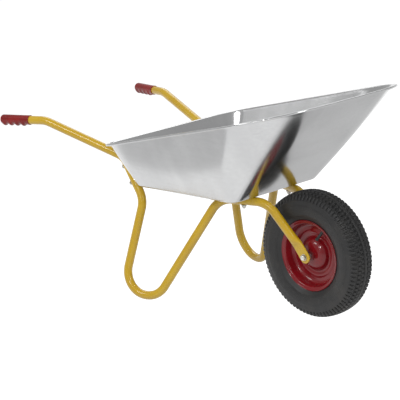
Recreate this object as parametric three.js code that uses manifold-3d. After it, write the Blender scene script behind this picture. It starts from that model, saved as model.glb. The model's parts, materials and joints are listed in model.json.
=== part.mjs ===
// A wheelbarrow: a pressed steel tray on two bent tubes, with one air-filled wheel.
// Millimetres, +Z up, +X towards the wheel, +Y to the user's left. Inside the group every x is
// measured from the wheel's axle, and the group is then moved so that the origin lies on the
// floor under the middle of the barrow's length.

import * as THREE from 'three';
import { ParametricGeometry } from 'three/addons/geometries/ParametricGeometry.js';
import { mergeVertices } from 'three/addons/utils/BufferGeometryUtils.js';
import Module from 'manifold-3d';

const wasm = await Module();
wasm.setup();

const GAP = 0.3; // between pieces that touch

// Tray
const SHEET = 1.2;
const FLOOR = { rearX: -570, frontX: -162, rearHalf: 214, frontHalf: 197, rearR: 10, frontR: 40 };
const FLOOR_REAR_Z = 353;
const FLOOR_FRONT_Z = 369;
const RIM = { rearX: -677, frontX: 160, rearHalf: 304, frontHalf: 360, rearR: 108, frontR: 235 };
const RIM_REAR_Z = 486;
const RIM_FRONT_Z = 718;
const FLANGE = 14; // flat lip round the top, bead included
const BEAD_R = 3.5; // rolled edge of the lip
const FLOOR_FILLET = 9.5; // setback of the round between floor and walls
const BEAD_ANGLES = [147, 210, 270, 330, 30, 90]; // from under the lip, out and over its edge
const WALL_LEAN = 0.55 * SHEET; // level step from the wall's outer face to its inner one
const FILLET_STEPS = 3;
const REST_SHARE = 0.45; // the middle of the floor, clear of the bolts, where a load rests
const CORNER_STEPS = 6;
const SIDE_STEPS = 4;

// Frame tubes
const TUBE_R = 14;
const TUBE_BORE_R = 12.5;
const TUBE_SIDES = 10;
const BEND_STEP = THREE.MathUtils.degToRad(18);
const HANDLE_END = new THREE.Vector3(-1121, 308.4, 507.6);
const HANDLE_BEND = new THREE.Vector3(-948, 269, 522);
const REAR_TOP_Z = 437; // where the tube turns down behind the tray
const REAR_LOW_Z = 311; // where it turns into the back leg
const REAR_HALF = 202; // half the distance between the tubes behind the tray
const BACK_FOOT = new THREE.Vector3(-589, 278, TUBE_R);
const FRONT_FOOT = new THREE.Vector3(-459, 245.5, TUBE_R);
const FLOOR_RUN_REAR = [-290, 127.6]; // x and half spacing where the tube meets the floor
const FLOOR_RUN_FRONT = [-131, 79]; // and where it turns down to the axle
const HANDLE_BEND_R = 100;
const REAR_TOP_R = 60;
const LEG_TOP_R = 80;
const FOOT_R = 74;
const FORK_TOP_R = 80;

// Pressed ends of the tubes, which hold the axle
const FORK_HALF = 54; // middle of the pressed end
const FORK_PRESSED_HALF = 3; // half its thickness
const FORK_PRESSED_WIDTH = 19; // half its width
const FORK_BEFORE = 45; // where the pressed end starts, before the axle
const FORK_PAST = 20; // how far it runs past the axle
const PRESS_ABOVE = 30; // the tube starts to flatten this far above the pressed end
const PRESS_BELOW = 15; // and is quite flat this far below its start
const FORK_BEND_R = 60;
const FORK_ROUND = 18; // length of the rounded end
const FORK_ROUND_RINGS = [0.35, 0.75]; // how far along it, as shares of its length
const FLAT_SHARPNESS = 0.35; // squareness of the pressed section

// Grips
const GRIP_LENGTH = 120;
const GRIP_R = 16.2;
const GRIP_BORE_R = 14.8;
const GRIP_CAP = 5; // closed end beyond the tube
const GRIP_ROUND = 8; // radius of the round at the closed end
const GRIP_ROUND_ANGLES = [0, 30, 60];
const GRIP_RIDGE = 5; // height of the finger ridges
const GRIP_RIDGES = 4;
const FIRST_RIDGE = 15; // middle of the ridge nearest the closed end
const RIDGE_PITCH = 26;
const RIDGE_HALF = 10; // half the length of one ridge
const RIDGE_SHOULDER = 0.75; // share of its height half way up a ridge
const GRIP_SIDES = 12;

// Tray bolts
const BOLT_R = 4;
const BOLT_HOLE_R = 4.6;
const BOLT_HOLE_LENGTH = 90;
const BOLT_HEAD_R = 7;
const BOLT_HEAD_H = 4.5;
const BOLT_NECK = 0.9; // the head stands this far off the sheet, on its square neck
const BOLT_CROWN = [0.6, 0.85]; // the head's dome: share of its radius, share of its height
const BOLT_BROW = 0.25; // straight part at the foot of the head, as a share of its height
const BOLT_CHAMFER = 1;
const BOLT_TIP = 3.5; // thread past the nut
const NUT_R = 7.5; // across corners, halved
const NUT_H = 6.5;
const WASHER_R = 9;
const WASHER_H = 1.6;
const REAR_BOLTS = { upper: 86, lower: 27 }; // distances up the rear panel
const FLOOR_BOLT_X = -209;

// Axle
const AXLE_Z = 200;
const AXLE_R = 5;
const AXLE_HOLE_R = 5.6;
const AXLE_HEAD_R = 9.2;
const AXLE_HEAD_H = 6.4;
const AXLE_NUT_H = 8.4;
const AXLE_TIP = 4;
const AXLE_WASHER_R = 10.5;
const AXLE_WASHER_H = 2;
const SLEEVE_R = 8.5;

// Wheel
const HUB_R = 17;
const HUB_BORE_R = 13.4;
const HUB_HALF = 30;
const BUSH_R = 12.9;
const BUSH_DEPTH = 13;
const BUSH_FLANGE_R = 14.5;
const BUSH_FLANGE = 1.7;
const RUN_GAP = 0.6; // side play of the wheel
const RIM_SHEET = 2;
const RIM_MATING = RIM_SHEET / 2 + GAP / 2; // the halves meet at the middle plane
const TUBE_RING_R = 146; // inner tube: ring and section
const TUBE_SECTION_R = 35;
const TUBE_WALL = 3;
const TUBE_RING_STEPS = 26;
const TUBE_SECTION_STEPS = 9;
const VALVE_ANGLE = THREE.MathUtils.degToRad(63); // up from straight ahead
const VALVE_TILT = THREE.MathUtils.degToRad(25); // outward lean
const VALVE_RADIUS = 106; // root of the stem
const VALVE_OUT = 11; // root's distance from the middle of the wheel
const VALVE_LENGTH = 50;
const VALVE_HOLE_R = 8;
const VALVE_ENTRY_R = 5; // hole in the inner tube
const VALVE_STEM_R = 7;
const VALVE_NECK = [12, 16]; // where the thick foot of the stem ends and the slim part starts
const VALVE_SLIM_R = 5;
const VALVE_TIP_R = 4.5;
const VALVE_CAP = 8;
const VALVE_CAP_R = 5.5;
const VALVE_CAP_CHAMFER = 1.5;
const ROUND_STEPS = 32; // facets round the wheel

const TYRE_R = 200;
const LENGTH = 1328; // from the ends of the grips to the front of the tyre
const AXLE_X = LENGTH / 2 - TYRE_R; // from the origin to the axle

const SIDES = { right: -1, left: 1 };

const FINISH = {
  tray: { color: 0xb4b7b9, roughness: 0.35, metalness: 0.9 },
  frame: { color: 0xcf9f22, roughness: 0.35, metalness: 0 },
  grip: { color: 0x8e1f1c, roughness: 0.3, metalness: 0 },
  zinc: { color: 0xc4c4bf, roughness: 0.35, metalness: 1 },
  rim: { color: 0x7a1218, roughness: 0.25, metalness: 0.1 },
  tyre: { color: 0x2b2b2c, roughness: 0.8, metalness: 0 },
  rubber: { color: 0x1b1b1b, roughness: 0.7, metalness: 0 },
  bush: { color: 0x5e1518, roughness: 0.5, metalness: 0 },
};

// ---- Solids ----

// A closed geometry as a solid: shared points merged, flat triangles dropped, faces outward.
function solid(geometry) {
  geometry.deleteAttribute('normal');
  geometry.deleteAttribute('uv');
  const merged = mergeVertices(geometry, 1e-3);
  const place = merged.attributes.position;
  const corner = [new THREE.Vector3(), new THREE.Vector3(), new THREE.Vector3()];
  const kept = [];
  let volume = 0;
  for (let i = 0; i < merged.index.count; i += 3) {
    const triangle = [0, 1, 2].map((k) => merged.index.getX(i + k));
    if (new Set(triangle).size === 3) {
      corner.forEach((point, k) => point.fromBufferAttribute(place, triangle[k]));
      volume += corner[0].dot(corner[1].cross(corner[2]));
      kept.push(triangle);
    }
  }
  if (volume < 0) {
    kept.forEach((triangle) => triangle.reverse());
  }
  const mesh = new wasm.Mesh({
    numProp: 3,
    vertProperties: place.array,
    triVerts: new Uint32Array(kept.flat()),
  });
  return new wasm.Manifold(mesh);
}

function geometryOf(body) {
  const mesh = body.getMesh();
  const geometry = new THREE.BufferGeometry();
  geometry.setAttribute('position', new THREE.BufferAttribute(mesh.vertProperties, 3));
  geometry.setIndex(new THREE.BufferAttribute(mesh.triVerts, 1));
  geometry.computeVertexNormals();
  return geometry;
}

// A skin over rings of points that all have the same count. A ring may be one repeated point.
function skin(rings) {
  const stacks = rings.length - 1;
  const slices = rings[0].length;
  const at = (u, v, target) => {
    const ring = rings[Math.round(v * stacks)];
    target.copy(ring[Math.round(u * slices) % slices]);
  };
  return solid(new ParametricGeometry(at, slices, stacks));
}

// A turned body round the Z axis from [radius, height] pairs.
function turned(profile, steps) {
  const points = profile.map(([radius, height]) => new THREE.Vector2(radius, height));
  return solid(new THREE.LatheGeometry(points, steps).rotateX(Math.PI / 2));
}

// A ring of revolution: its profile closes on itself.
function turnedRing(profile, steps) {
  return turned([...profile, profile[0]], steps);
}

// A bar along a line, to drill with or to add.
function bar(centre, direction, radius, length, sides = 12) {
  const rod = new THREE.CylinderGeometry(radius, radius, length, sides);
  const turn = new THREE.Quaternion().setFromUnitVectors(new THREE.Vector3(0, 1, 0), direction);
  rod.applyQuaternion(turn);
  rod.translate(centre.x, centre.y, centre.z);
  return solid(rod);
}

function piece(name, body, finish) {
  const mesh = new THREE.Mesh(geometryOf(body), new THREE.MeshStandardMaterial(FINISH[finish]));
  mesh.name = name;
  return mesh;
}

// Puts a piece's own +Z along a direction, from a starting point.
function aim(mesh, start, direction) {
  mesh.position.copy(start);
  mesh.quaternion.setFromUnitVectors(new THREE.Vector3(0, 0, 1), direction);
  return mesh;
}

function mirrored(point, side) {
  return new THREE.Vector3(point.x, point.y * side, point.z);
}

// ---- Tray ----

function floorZ(x) {
  const along = (x - FLOOR.rearX) / (FLOOR.frontX - FLOOR.rearX);
  return THREE.MathUtils.lerp(FLOOR_REAR_Z, FLOOR_FRONT_Z, along);
}

function rimZ(x) {
  const along = (x - RIM.rearX) / (RIM.frontX - RIM.rearX);
  return THREE.MathUtils.lerp(RIM_REAR_Z, RIM_FRONT_Z, along);
}

// Round-cornered outline in plan, wider or narrower towards the front. Each point carries its
// outward direction, and outlines with other sizes have their points in the same order.
function planOutline({ rearX, frontX, rearHalf, frontHalf, rearR, frontR }) {
  const flare = Math.atan2(frontHalf - rearHalf, frontX - rearX);
  const rearY = rearHalf - (rearR * (1 - Math.sin(flare))) / Math.cos(flare);
  const frontY = frontHalf - (frontR * (1 + Math.sin(flare))) / Math.cos(flare);
  const sideways = Math.PI / 2 + flare;
  const corners = [
    { x: rearX + rearR, y: -rearY, r: rearR, from: Math.PI, to: 2 * Math.PI - sideways },
    { x: frontX - frontR, y: -frontY, r: frontR, from: 2 * Math.PI - sideways, to: 2 * Math.PI },
    { x: frontX - frontR, y: frontY, r: frontR, from: 0, to: sideways },
    { x: rearX + rearR, y: rearY, r: rearR, from: sideways, to: Math.PI },
  ];
  const arcs = corners.map(({ x, y, r, from, to }) => {
    const arc = [];
    for (let step = 0; step <= CORNER_STEPS; step += 1) {
      const angle = THREE.MathUtils.lerp(from, to, step / CORNER_STEPS);
      const out = new THREE.Vector2(Math.cos(angle), Math.sin(angle));
      arc.push({ at: new THREE.Vector2(x, y).addScaledVector(out, r), out });
    }
    return arc;
  });
  const outline = [];
  arcs.forEach((arc, index) => {
    outline.push(...arc);
    const last = arc[CORNER_STEPS];
    const next = arcs[(index + 1) % arcs.length][0];
    const steps = index % 2 === 0 ? SIDE_STEPS : 1; // the ends are flat panels
    for (let step = 1; step < steps; step += 1) {
      outline.push({ at: last.at.clone().lerp(next.at, step / steps), out: last.out });
    }
  });
  return outline;
}

// The section of the tray wall at one point of the outline, from the middle of the floor's
// underside, up the outside, round the rolled lip and down the inside.
function traySection(foot, lip) {
  const lift = (plan, offset, height) => {
    const spot = plan.at.clone().addScaledVector(plan.out, offset);
    return new THREE.Vector3(spot.x, spot.y, height(spot.x));
  };
  const outerFoot = lift(foot, 0, floorZ);
  const innerFoot = lift(foot, -WALL_LEAN, (x) => floorZ(x) + SHEET);
  const outerTop = lift(lip, -FLANGE, (x) => rimZ(x) - SHEET);
  const innerTop = lift(lip, -FLANGE - WALL_LEAN, rimZ);
  const curve = (base, top, floorSpot) => {
    const up = top.clone().sub(base).normalize().multiplyScalar(FLOOR_FILLET).add(base);
    return new THREE.QuadraticBezierCurve3(floorSpot, base, up).getPoints(FILLET_STEPS);
  };
  const outerFloor = lift(foot, -FLOOR_FILLET, floorZ);
  const innerFloor = lift(foot, -FLOOR_FILLET, (x) => floorZ(x) + SHEET);
  const bead = BEAD_ANGLES.map((degrees) => {
    const angle = THREE.MathUtils.degToRad(degrees);
    const across = -BEAD_R + BEAD_R * Math.cos(angle);
    return lift(lip, across, (x) => rimZ(x) - BEAD_R + BEAD_R * Math.sin(angle));
  });
  const middleX = (FLOOR.rearX + FLOOR.frontX) / 2;
  const under = new THREE.Vector3(middleX, 0, floorZ(middleX));
  const over = new THREE.Vector3(middleX, 0, floorZ(middleX) + SHEET);
  const outside = curve(outerFoot, outerTop, outerFloor);
  const inside = curve(innerFoot, innerTop, innerFloor).reverse();
  const rest = over.clone().lerp(innerFloor, REST_SHARE);
  return [under, ...outside, outerTop, ...bead, innerTop, ...inside, rest, over];
}

function trayShell() {
  const feet = planOutline(FLOOR);
  const lips = planOutline(RIM);
  const sections = feet.map((foot, index) => traySection(foot, lips[index]));
  return skin(sections[0].map((_, ring) => sections.map((section) => section[ring])));
}

// The rear panel's outer face as a line in the XZ plane, with its outward direction.
const panelFoot = new THREE.Vector3(FLOOR.rearX, 0, FLOOR_REAR_Z);
const panelTopX = RIM.rearX + FLANGE;
const panelUp = new THREE.Vector3(panelTopX, 0, rimZ(panelTopX) - SHEET).sub(panelFoot).normalize();
const panelOut = new THREE.Vector3(-panelUp.z, 0, panelUp.x);

const floorAlong = new THREE.Vector3(FLOOR.frontX - FLOOR.rearX, 0, FLOOR_FRONT_Z - FLOOR_REAR_Z)
  .normalize();
const floorDown = new THREE.Vector3(floorAlong.z, 0, -floorAlong.x);

// ---- Frame tubes ----

// The middle of a tube that lies against the rear panel, at a given height.
function behindPanel(height, half) {
  const off = TUBE_R + GAP;
  const rise = (height - panelFoot.z - panelOut.z * off) / panelUp.z;
  const spot = panelFoot.clone().addScaledVector(panelUp, rise).addScaledVector(panelOut, off);
  return spot.setY(half);
}

// The middle of a tube that lies against the underside of the floor.
function underFloor([x, half]) {
  return new THREE.Vector3(x, half, floorZ(x) + (TUBE_R + GAP) / floorDown.z);
}

const axleHole = new THREE.Vector3(0, FORK_HALF, AXLE_Z);
const forkTop = underFloor(FLOOR_RUN_FRONT);
const forkDown = axleHole.clone().sub(forkTop).setY(0).normalize();
const aboveAxle = (distance) => axleHole.clone().addScaledVector(forkDown, -distance);
const forkKnee = aboveAxle(FORK_BEFORE);
const pressStart = forkTop.clone().sub(forkKnee).setLength(PRESS_ABOVE).add(forkKnee);

// The corners of the tube's route on the left side, each with its bend radius.
const ROUTE = [
  [HANDLE_END, 0],
  [HANDLE_BEND, HANDLE_BEND_R],
  [behindPanel(REAR_TOP_Z, REAR_HALF), REAR_TOP_R],
  [behindPanel(REAR_LOW_Z, REAR_HALF), LEG_TOP_R],
  [BACK_FOOT, FOOT_R],
  [FRONT_FOOT, FOOT_R],
  [underFloor(FLOOR_RUN_REAR), FORK_TOP_R],
  [forkTop, FORK_TOP_R],
  [pressStart, 0],
  [pressStart.clone().lerp(forkKnee, 0.5), 0],
  [forkKnee, FORK_BEND_R],
  [aboveAxle(FORK_BEFORE - PRESS_BELOW), 0],
  [aboveAxle(-FORK_PAST + FORK_ROUND), 0],
];

// The stations of one bend, from where it leaves one straight to where it meets the next.
function bendStations(corner, came, way, radius) {
  const turn = came.angleTo(way);
  const start = corner.clone().addScaledVector(came, -radius * Math.tan(turn / 2));
  const inward = way.clone().addScaledVector(came, -way.dot(came)).normalize();
  const steps = Math.max(2, Math.ceil(turn / BEND_STEP));
  return Array.from({ length: steps + 1 }, (_, step) => {
    const angle = (turn * step) / steps;
    const at = start.clone().addScaledVector(came, radius * Math.sin(angle));
    at.addScaledVector(inward, radius * (1 - Math.cos(angle)));
    const heading = came.clone().multiplyScalar(Math.cos(angle));
    return { at, way: heading.addScaledVector(inward, Math.sin(angle)) };
  });
}

// Stations along the route: each has its place and the tube's direction there.
const STATIONS = ROUTE.flatMap(([corner, radius], index) => {
  const towards = ROUTE[index + 1] ?? [aboveAxle(-FORK_PAST)];
  const way = towards[0].clone().sub(corner).normalize();
  if (radius === 0) {
    return [{ at: corner.clone(), way }];
  }
  const came = corner.clone().sub(ROUTE[index - 1][0]).normalize();
  return bendStations(corner, came, way, radius);
});

// How far the tube is pressed flat, from 0 for round to 1, by its distance from the axle.
function pressed(at) {
  const from = FORK_BEFORE - PRESS_BELOW;
  const to = FORK_BEFORE + PRESS_ABOVE;
  return 1 - THREE.MathUtils.smoothstep(at.distanceTo(axleHole), from, to - 1);
}

// One section of the tube: round, or a flat-sided slot shape where it is pressed.
function tubeRing({ at, way }, radius, side, narrowed = 1) {
  const across = new THREE.Vector3(0, 1, 0).addScaledVector(way, -way.y).normalize();
  const upright = way.clone().cross(across);
  const flat = radius === TUBE_R ? pressed(at) : 0;
  const thick = THREE.MathUtils.lerp(radius, FORK_PRESSED_HALF, flat);
  const wide = THREE.MathUtils.lerp(radius, FORK_PRESSED_WIDTH, flat) * narrowed;
  const power = THREE.MathUtils.lerp(1, FLAT_SHARPNESS, flat);
  const squared = (value) => Math.sign(value) * Math.abs(value) ** power;
  return Array.from({ length: TUBE_SIDES }, (_, step) => {
    const angle = (2 * Math.PI * (step + 0.5)) / TUBE_SIDES;
    const spot = at.clone().addScaledVector(across, thick * squared(Math.sin(angle)));
    spot.addScaledVector(upright, wide * squared(Math.cos(angle)));
    return mirrored(spot, side);
  });
}

// The tube's wall as one skin: from its pressed end back to the handle, then down the bore to
// where the pressing closes it.
function tubeShell(side) {
  const bored = STATIONS.filter(({ at }) => pressed(at) === 0);
  const blind = bored[bored.length - 1].at;
  const tip = aboveAxle(-FORK_PAST);
  const roundEnd = FORK_ROUND_RINGS.map((along) => ({
    at: aboveAxle(-FORK_PAST + FORK_ROUND * (1 - along)),
    way: forkDown,
    narrowed: Math.sqrt(1 - along ** 2),
  }));
  return skin([
    Array(TUBE_SIDES).fill(mirrored(tip, side)),
    ...roundEnd.map((station) => tubeRing(station, TUBE_R, side, station.narrowed)).reverse(),
    ...STATIONS.map((station) => tubeRing(station, TUBE_R, side)).reverse(),
    ...bored.map((station) => tubeRing(station, TUBE_BORE_R, side)),
    Array(TUBE_SIDES).fill(mirrored(blind, side)),
  ]);
}

// ---- Tray bolts ----

// Where each bolt's axis leaves the tray's outer face, its direction away from the tray, and
// the tube's middle on that axis.
function boltSeats() {
  const rearTop = behindPanel(REAR_TOP_Z, REAR_HALF);
  const seats = Object.entries(REAR_BOLTS).map(([name, rise]) => {
    const at = panelFoot.clone().addScaledVector(panelUp, rise).setY(rearTop.y);
    return { name: `rear_${name}`, at, out: panelOut };
  });
  const rear = underFloor(FLOOR_RUN_REAR);
  const along = (FLOOR_BOLT_X - rear.x) / (forkTop.x - rear.x);
  const half = THREE.MathUtils.lerp(rear.y, forkTop.y, along);
  const at = new THREE.Vector3(FLOOR_BOLT_X, half, floorZ(FLOOR_BOLT_X));
  seats.push({ name: 'floor', at, out: floorDown });
  return seats;
}

const SEATS = boltSeats();

function boltHole({ at, out }, side) {
  return bar(mirrored(at, side), mirrored(out, side), BOLT_HOLE_R, BOLT_HOLE_LENGTH);
}

function tray() {
  let body = trayShell();
  Object.values(SIDES).forEach((side) => {
    SEATS.forEach((seat) => {
      body = body.subtract(boltHole(seat, side));
    });
  });
  return body;
}

function frameTube(side) {
  let body = tubeShell(side);
  SEATS.forEach((seat) => {
    body = body.subtract(boltHole(seat, side));
  });
  const pin = bar(mirrored(axleHole, side), new THREE.Vector3(0, 1, 0), AXLE_HOLE_R, TUBE_R);
  return body.subtract(pin);
}

// Distances along a bolt from the tray's outer face.
const HEAD_FACE = -SHEET - BOLT_NECK;
const WASHER_FACE = 2 * (TUBE_R + GAP);
const NUT_FACE = WASHER_FACE + WASHER_H + GAP;
const BOLT_END = NUT_FACE + NUT_H + BOLT_TIP;

// A round-headed bolt along +Z, with the tray's outer face at zero.
function trayBolt() {
  return turned([
    [0, HEAD_FACE - BOLT_HEAD_H],
    [BOLT_HEAD_R * BOLT_CROWN[0], HEAD_FACE - BOLT_HEAD_H * BOLT_CROWN[1]],
    [BOLT_HEAD_R, HEAD_FACE - BOLT_HEAD_H * BOLT_BROW],
    [BOLT_HEAD_R, HEAD_FACE],
    [BOLT_R, HEAD_FACE],
    [BOLT_R, BOLT_END - BOLT_CHAMFER],
    [BOLT_R - BOLT_CHAMFER, BOLT_END],
    [0, BOLT_END],
  ], 10);
}

function washer(radius, holeR, thickness) {
  return turnedRing([[holeR, 0], [radius, 0], [radius, thickness], [holeR, thickness]], 12);
}

// A hexagon nut along +Z, standing on zero.
function nut(cornerR, holeR, height) {
  const centre = new THREE.Vector3(0, 0, height / 2);
  const up = new THREE.Vector3(0, 0, 1);
  return bar(centre, up, cornerR, height, 6).subtract(bar(centre, up, holeR, 2 * height, 12));
}

function trayFixings(sideName, side) {
  return SEATS.flatMap(({ name, at, out }) => {
    const start = mirrored(at, side);
    const away = mirrored(out, side);
    const offset = (distance) => start.clone().addScaledVector(away, distance);
    const label = `${sideName}_${name}`;
    const bolt = piece(`${label}_bolt`, trayBolt(), 'zinc');
    const ring = piece(`${label}_washer`, washer(WASHER_R, BOLT_HOLE_R, WASHER_H), 'zinc');
    const hex = piece(`${label}_nut`, nut(NUT_R, BOLT_HOLE_R, NUT_H), 'zinc');
    return [
      aim(bolt, start, away),
      aim(ring, offset(WASHER_FACE), away),
      aim(hex, offset(NUT_FACE), away),
    ];
  });
}

// ---- Grips ----

// A moulded grip along +Z from its closed end, with finger ridges on its -Y side.
function grip() {
  const ring = (z, radius, ridge = 0) => Array.from({ length: GRIP_SIDES }, (_, step) => {
    const angle = (2 * Math.PI * step) / GRIP_SIDES;
    const under = Math.max(0, -Math.sin(angle));
    const r = radius + ridge * under;
    return new THREE.Vector3(r * Math.cos(angle), r * Math.sin(angle), z);
  });
  const roundEnd = GRIP_ROUND_ANGLES.map((degrees) => {
    const angle = THREE.MathUtils.degToRad(degrees);
    return ring(GRIP_ROUND * (1 - Math.cos(angle)), GRIP_R - GRIP_ROUND * (1 - Math.sin(angle)));
  });
  const ridges = Array.from({ length: GRIP_RIDGES }, (_, index) => {
    const middle = FIRST_RIDGE + RIDGE_PITCH * index;
    return [
      ring(middle - RIDGE_HALF, GRIP_R),
      ring(middle - RIDGE_HALF / 2, GRIP_R, GRIP_RIDGE * RIDGE_SHOULDER),
      ring(middle, GRIP_R, GRIP_RIDGE),
      ring(middle + RIDGE_HALF / 2, GRIP_R, GRIP_RIDGE * RIDGE_SHOULDER),
      ring(middle + RIDGE_HALF, GRIP_R),
    ];
  });
  return skin([
    Array(GRIP_SIDES).fill(new THREE.Vector3()),
    ...roundEnd,
    ...ridges.flat(),
    ring(GRIP_LENGTH, GRIP_R),
    ring(GRIP_LENGTH, GRIP_BORE_R),
    ring(GRIP_CAP, GRIP_BORE_R),
    Array(GRIP_SIDES).fill(new THREE.Vector3(0, 0, GRIP_CAP)),
  ]);
}

function placedGrip(sideName, side) {
  const along = mirrored(HANDLE_BEND, side).sub(mirrored(HANDLE_END, side)).normalize();
  const mesh = piece(`${sideName}_grip`, grip(), 'grip');
  const up = new THREE.Vector3(0, 0, 1).addScaledVector(along, -along.z).normalize();
  const across = up.clone().cross(along);
  mesh.quaternion.setFromRotationMatrix(new THREE.Matrix4().makeBasis(across, up, along));
  mesh.position.copy(mirrored(HANDLE_END, side)).addScaledVector(along, -GRIP_CAP - GAP);
  return mesh;
}

// ---- Axle ----

const PLATE_OUT = FORK_HALF + FORK_PRESSED_HALF + GAP;
const PLATE_IN = FORK_HALF - FORK_PRESSED_HALF - GAP;
const AXLE_FACE = PLATE_OUT + AXLE_WASHER_H + GAP; // where the head and the nut bear
const BUSH_OUT = HUB_HALF + GAP + BUSH_FLANGE;
const leftwards = new THREE.Vector3(0, 1, 0);

// The long bolt through both tubes and the wheel, along +Z from its head's outer face.
function spindle() {
  const up = new THREE.Vector3(0, 0, 1);
  const start = -AXLE_FACE;
  const end = AXLE_FACE + AXLE_NUT_H + AXLE_TIP;
  const rod = bar(up.clone().setLength((start - 1 + end) / 2), up, AXLE_R, end - start + 1);
  const headMiddle = up.clone().multiplyScalar(start - AXLE_HEAD_H / 2);
  return bar(headMiddle, up, AXLE_HEAD_R, AXLE_HEAD_H, 6).add(rod);
}

function axlePieces(sideName, side) {
  const out = leftwards.clone().multiplyScalar(side);
  const at = (distance) => new THREE.Vector3(0, side * distance, AXLE_Z);
  const disc = piece(`${sideName}_axle_washer`,
    washer(AXLE_WASHER_R, AXLE_HOLE_R, AXLE_WASHER_H), 'zinc');
  const length = PLATE_IN - BUSH_OUT - RUN_GAP;
  const sleeve = piece(`${sideName}_axle_sleeve`, washer(SLEEVE_R, AXLE_HOLE_R, length), 'zinc');
  return [aim(disc, at(PLATE_OUT), out), aim(sleeve, at(BUSH_OUT + RUN_GAP), out)];
}

function axle() {
  const centre = new THREE.Vector3(0, 0, AXLE_Z);
  const face = new THREE.Vector3(0, AXLE_FACE, AXLE_Z);
  return [
    aim(piece('axle_bolt', spindle(), 'zinc'), centre, leftwards),
    aim(piece('axle_nut', nut(AXLE_HEAD_R, AXLE_HOLE_R, AXLE_NUT_H), 'zinc'), face, leftwards),
  ];
}

// ---- Wheel, along +Z about its own middle ----

// The outline of a pressed sheet from its middle line of [radius, height] points.
function sheetOutline(middle, thickness) {
  const points = middle.map(([radius, height]) => new THREE.Vector2(radius, height));
  const shifted = (sign) => points.map((point, index) => {
    const before = points[index - 1] ?? point;
    const after = points[index + 1] ?? point;
    const run = after.clone().sub(before).normalize();
    const out = new THREE.Vector2(-run.y, run.x).multiplyScalar((sign * thickness) / 2);
    return [point.x + out.x, point.y + out.y];
  });
  return [...shifted(1), ...shifted(-1).reverse()];
}

// Half of the wheel disc: its rolled edge, the seat of the tyre, a raised ring and the domed
// middle.
const RIM_MIDDLE = [
  [112, 37.5], [109.5, 35], [103.5, 33.5], [100.5, 30], [98, 8], [90, RIM_MATING],
  [77, RIM_MATING], [72, 4], [66, 4], [61, RIM_MATING], [54, RIM_MATING], [48, 13], [40, 20],
  [30, 24.5], [HUB_R + GAP, 26],
];

const VALVE_ROOT = new THREE.Vector3(
  VALVE_RADIUS * Math.cos(VALVE_ANGLE),
  VALVE_RADIUS * Math.sin(VALVE_ANGLE),
  VALVE_OUT,
);
const VALVE_WAY = new THREE.Vector3(
  -Math.cos(VALVE_ANGLE) * Math.cos(VALVE_TILT),
  -Math.sin(VALVE_ANGLE) * Math.cos(VALVE_TILT),
  Math.sin(VALVE_TILT),
);

function rimHalf() {
  return turnedRing(sheetOutline(RIM_MIDDLE, RIM_SHEET), ROUND_STEPS);
}

function valveDrill(radius) {
  return bar(VALVE_ROOT, VALVE_WAY, radius, VALVE_LENGTH);
}

// The tyre's section is open towards the rim, between its two beads.
function tyre() {
  const outside = [
    [102.2, 28], [104.5, 31.5], [110.5, 33.2], [117, 38], [130, 45], [150, 48], [172, 46.5],
    [187, 42], [196, 33], [TYRE_R, 13],
  ];
  const inside = [[185, 27], [172, 39], [152, 41], [130, 38], [113, 27], [102.2, 23]];
  const flip = (points) => points.map(([radius, height]) => [radius, -height]).reverse();
  return turnedRing([...outside, ...flip(outside), ...flip(inside), ...inside], ROUND_STEPS);
}

// A hollow ring of rubber, open where the valve enters it.
function innerTube() {
  const ring = (radius) => solid(
    new THREE.TorusGeometry(TUBE_RING_R, radius, TUBE_SECTION_STEPS, TUBE_RING_STEPS),
  );
  const air = ring(TUBE_SECTION_R - TUBE_WALL);
  return ring(TUBE_SECTION_R).subtract(air).subtract(valveDrill(VALVE_ENTRY_R));
}

function valveStem() {
  return turned([
    [0, 0], [VALVE_STEM_R, 0], [VALVE_STEM_R, VALVE_NECK[0]], [VALVE_SLIM_R, VALVE_NECK[1]],
    [VALVE_TIP_R, VALVE_LENGTH - VALVE_CAP], [0, VALVE_LENGTH - VALVE_CAP],
  ], 10);
}

function valveCap() {
  return turned([
    [0, 0], [VALVE_CAP_R, 0], [VALVE_CAP_R, VALVE_CAP - VALVE_CAP_CHAMFER],
    [VALVE_CAP_R - VALVE_CAP_CHAMFER, VALVE_CAP], [0, VALVE_CAP],
  ], 10);
}

function hubTube() {
  const ring = [
    [HUB_BORE_R, -HUB_HALF], [HUB_R, -HUB_HALF], [HUB_R, HUB_HALF], [HUB_BORE_R, HUB_HALF],
  ];
  return turnedRing(ring, 18);
}

// A flanged bush: its sleeve runs inside the hub tube, its flange stands against the end.
function bush() {
  return turnedRing([
    [AXLE_HOLE_R, -BUSH_DEPTH], [BUSH_R, -BUSH_DEPTH], [BUSH_R, GAP], [BUSH_FLANGE_R, GAP],
    [BUSH_FLANGE_R, GAP + BUSH_FLANGE], [AXLE_HOLE_R, GAP + BUSH_FLANGE],
  ], 18);
}

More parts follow.
